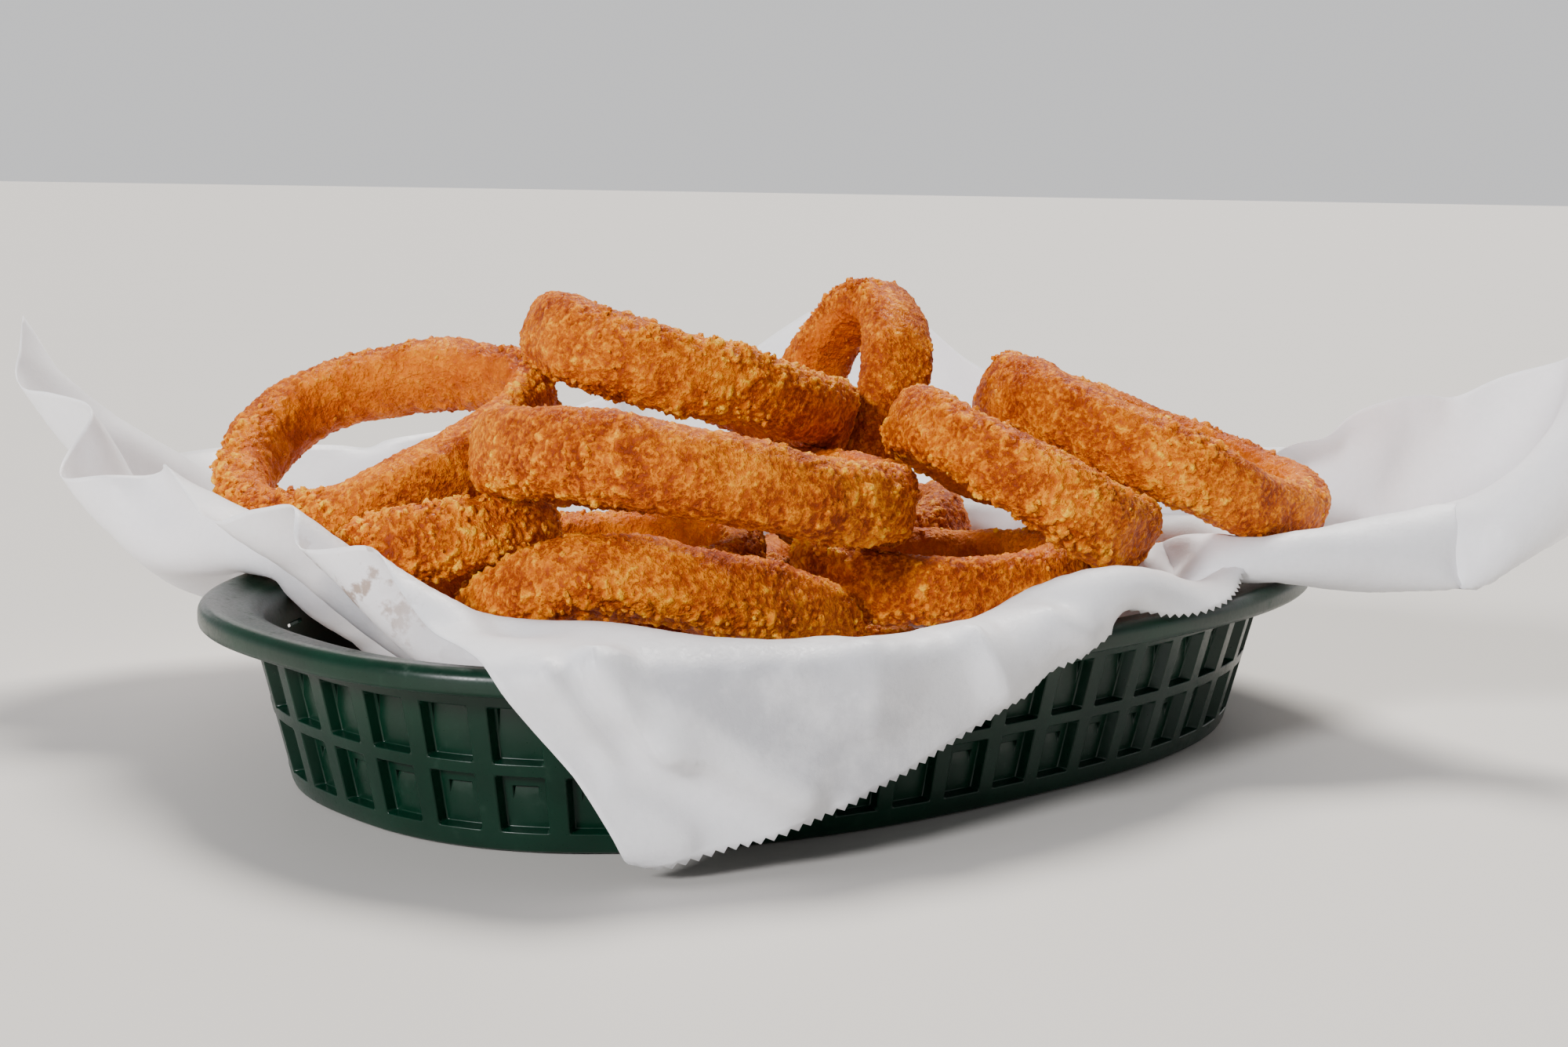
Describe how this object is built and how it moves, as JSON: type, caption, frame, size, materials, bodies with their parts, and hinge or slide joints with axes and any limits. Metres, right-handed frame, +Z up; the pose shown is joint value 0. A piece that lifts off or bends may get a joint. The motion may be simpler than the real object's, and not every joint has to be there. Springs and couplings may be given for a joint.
{
  "type": "onion rings side in a basket",
  "caption": "Heap of crumbed fried onion rings on a square sheet of deli paper in an oval openwork plastic platter basket.",
  "frame": {"origin": "on the table, under the middle of the basket", "axes": "+Z up, X along the basket's length, Y across it; the paper's hanging corner is at -X -Y"},
  "size_m": [0.2898, 0.2842, 0.1014],
  "materials": {
    "basket": "moulded dark green plastic, semi-gloss",
    "paper": "thin white waxed deli paper, satin",
    "crust": "coarse fried crumb, golden brown, slightly oily"
  },
  "bodies": {
    "root": {"basket": "basket", "paper_liner": "paper", "ring_floor_right": "crust", "ring_floor_middle": "crust", "ring_front_arch": "crust", "ring_back_middle": "crust", "ring_right_low": "crust", "ring_back_right": "crust", "ring_left_low": "crust", "ring_bowl": "crust", "ring_middle": "crust", "ring_left": "crust", "ring_right": "crust", "ring_slanted": "crust", "ring_upper": "crust", "ring_top": "crust"}
  },
  "joints": []
}
